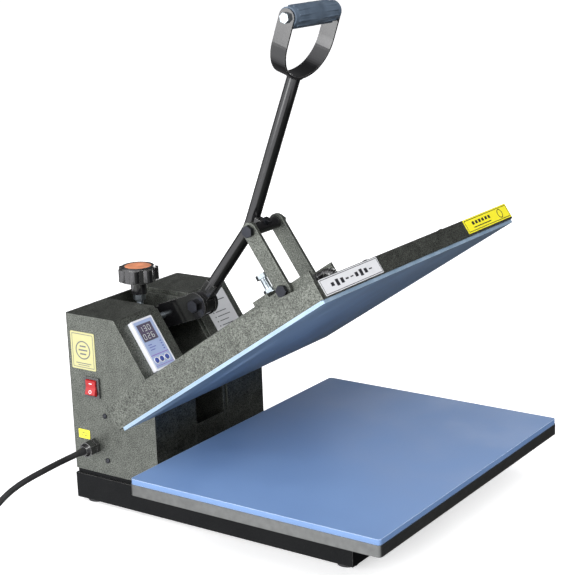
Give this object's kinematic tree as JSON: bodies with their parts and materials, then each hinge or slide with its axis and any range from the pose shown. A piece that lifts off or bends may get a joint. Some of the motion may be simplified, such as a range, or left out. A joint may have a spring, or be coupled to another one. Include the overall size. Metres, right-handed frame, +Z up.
{
  "type": "heat press",
  "caption": "Clamshell heat press with a padded lower platen, a hinged heated upper platen, toggle linkage, long D-handle, pressure knob and rear control box.",
  "frame": {"origin": "on the floor, under the middle of the press without its cord", "axes": "+X to the operator's right, +Y from the operator towards the control box, +Z up"},
  "size_m": [0.88, 0.687, 0.7538],
  "materials": {
    "black_coat": "semi-gloss black powder coat",
    "hammertone": "black and silver hammertone powder coat",
    "gloss_black": "gloss black coat",
    "zinc": "bright zinc plate",
    "dark_steel": "blackened steel",
    "platen_metal": "milled, dull",
    "heating_alloy": "non-stick coated",
    "pad_silicone": "smooth blue-grey silicone",
    "black_rubber": "satin",
    "black_plastic": "fine texture",
    "panel_white": "gloss",
    "panel_lavender": "satin film",
    "window_dark": "gloss",
    "label_white": "gloss film",
    "label_pale": "gloss film",
    "label_yellow": "gloss film",
    "rocker_red": "gloss",
    "button_blue": "satin",
    "cap_orange": "gloss",
    "grip_rubber": "ribbed, matte",
    "bronze": "sintered",
    "board_green": "solder mask",
    "ceramic_white": "matte",
    "insulation_felt": "felt"
  },
  "bodies": {
    "base": {"base_frame": "black_coat", "feet": "black_rubber", "plinth": "black_coat", "support_rails": "black_coat", "platen_bolts": "zinc", "lower_platen": "platen_metal", "silicone_pad": "pad_silicone", "left_housing": "hammertone", "right_housing": "hammertone", "centre_frame": "hammertone", "hinge_bolt": "zinc", "fulcrum_bolt": "zinc", "thrust_block": "black_coat", "panel_case": "panel_white", "panel_face": "panel_lavender", "display_window": "window_dark", "info_plate": "label_white", "side_label": "label_pale", "small_label": "label_yellow", "switch_case": "black_plastic", "housing_screws": "dark_steel", "cord_gland": "black_plastic", "strain_relief": "black_rubber", "controller_board": "board_green", "relay": "ceramic_white", "power_cord": "black_rubber", "cord_coil": "black_rubber", "plug_body": "black_rubber"},
    "arm": {"beam": "hammertone", "hinge_bushes": "bronze", "heating_plate": "heating_alloy", "heating_element": "ceramic_white", "insulation": "insulation_felt", "cover": "hammertone", "cover_screws": "dark_steel", "front_label": "label_white", "corner_label": "label_yellow", "stop_bolt": "zinc", "conduit": "black_plastic", "beam_bolts": "zinc", "link_bolts": "dark_steel"},
    "links": {"left_link": "hammertone", "right_link": "hammertone", "link_top_bolt": "dark_steel"},
    "handle": {"handle_bar": "gloss_black", "hand_strap": "gloss_black", "grip": "grip_rubber", "grip_bolt": "zinc", "sleeve_screw": "dark_steel"},
    "bracket": {"bracket_plates": "gloss_black", "bracket_bolt": "dark_steel", "bracket_spacer": "dark_steel"},
    "knob": {"knob": "black_plastic", "knob_cap": "cap_orange", "pressure_screw": "zinc"},
    "nut": {"trunnion_nut": "dark_steel"},
    "rocker": {"power_rocker": "rocker_red"},
    "button_set": {"set_button": "button_blue"},
    "button_up": {"up_button": "button_blue"},
    "button_down": {"down_button": "button_blue"}
  },
  "joints": [
    {"name": "arm_hinge", "type": "hinge", "parent": "base", "child": "arm", "pos_m": [0, 0.2111, 0.1482], "axis": [1, 0, 0], "range_deg": [0, 33.5]},
    {"name": "link_pivot", "type": "hinge", "parent": "arm", "child": "links", "pos_m": [0, -0.02231, 0.35283], "axis": [1, 0, 0], "range_deg": [-44.1, 0]},
    {"name": "handle_pivot", "type": "hinge", "parent": "links", "child": "handle", "pos_m": [0, 0.03358, 0.43333], "axis": [1, 0, 0], "range_deg": [0, 70.9]},
    {"name": "knob_turn", "type": "hinge", "parent": "base", "child": "knob", "pos_m": [0, 0.277, 0.335], "axis": [0, 0, 1], "range_deg": [-180, 180]},
    {"name": "nut_slide", "type": "slide", "parent": "base", "child": "nut", "axis": [0, 0, 1], "range_m": [-0.00076, 0.00076]},
    {"name": "bracket_pivot", "type": "hinge", "parent": "base", "child": "bracket", "pos_m": [0, 0.218, 0.2794], "axis": [1, 0, 0], "range_deg": [-0.74, 0.74]},
    {"name": "power_switch", "type": "hinge", "parent": "base", "child": "rocker", "pos_m": [-0.1345, 0.2635, 0.191], "axis": [0, 1, 0], "range_deg": [-14, 0]},
    {"name": "set_press", "type": "slide", "parent": "base", "child": "button_set", "axis": [0, -0.8308, 0.5565], "range_m": [-0.0006, 0], "stiffness_N_per_m": 400},
    {"name": "up_press", "type": "slide", "parent": "base", "child": "button_up", "axis": [0, -0.8308, 0.5565], "range_m": [-0.0006, 0], "stiffness_N_per_m": 400},
    {"name": "down_press", "type": "slide", "parent": "base", "child": "button_down", "axis": [0, -0.8308, 0.5565], "range_m": [-0.0006, 0], "stiffness_N_per_m": 400}
  ],
  "couplings": [
    {"joint": "link_pivot", "follows": "arm_hinge", "ratio": -1.316},
    {"joint": "handle_pivot", "follows": "arm_hinge", "ratio": 2.116},
    {"joint": "nut_slide", "follows": "knob_turn", "m_per_rad": -0.00023873},
    {"joint": "bracket_pivot", "follows": "knob_turn", "ratio": -0.0040463}
  ]
}
